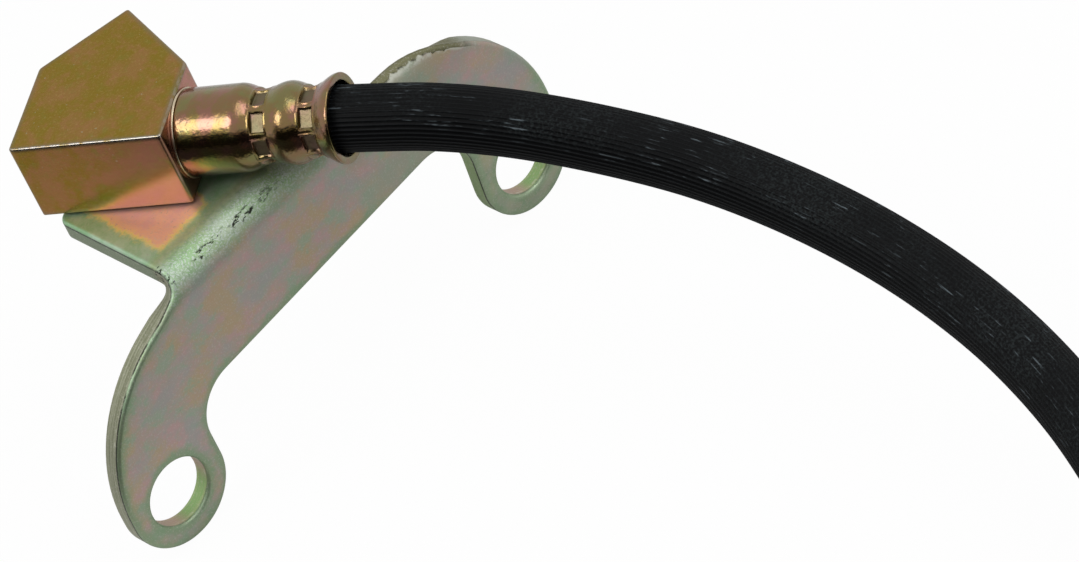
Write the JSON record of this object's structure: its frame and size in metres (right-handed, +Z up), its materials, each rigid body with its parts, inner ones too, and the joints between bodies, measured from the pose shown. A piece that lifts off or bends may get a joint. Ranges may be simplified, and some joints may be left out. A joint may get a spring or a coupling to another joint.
{
  "type": "brake hose",
  "caption": "Rubber hydraulic hose crimped to a drilled junction block on a folded sheet bracket with bolt ears, and to a hex tube fitting at its far end.",
  "frame": {"origin": "bottom centre of the bracket with its block and shell, on the surface that the ears' round tips stand on", "axes": "+X along the bracket's fold, from the left ear to the right one; +Y from the upright plate towards the tab's far edge; +Z up, square to the tab"},
  "size_m": [0.2064, 0.2465, 0.0563],
  "materials": {
    "bracket_zinc": "yellow zinc plate with green and pink sheen",
    "block_zinc": "gold zinc plate, satin",
    "nipple_zinc": "pale gold zinc plate",
    "shell_zinc": "gold zinc plate with green and pink sheen",
    "fitting_zinc": "gold zinc plate, satin",
    "hose_rubber": "ribbed black rubber, slightly scuffed"
  },
  "bodies": {
    "root": {"mounting_bracket": "bracket_zinc", "junction_block": "block_zinc", "block_nipple": "nipple_zinc", "block_shell": "shell_zinc", "hose": "hose_rubber", "end_fitting": "fitting_zinc", "end_nipple": "nipple_zinc", "end_shell": "shell_zinc"}
  },
  "joints": []
}
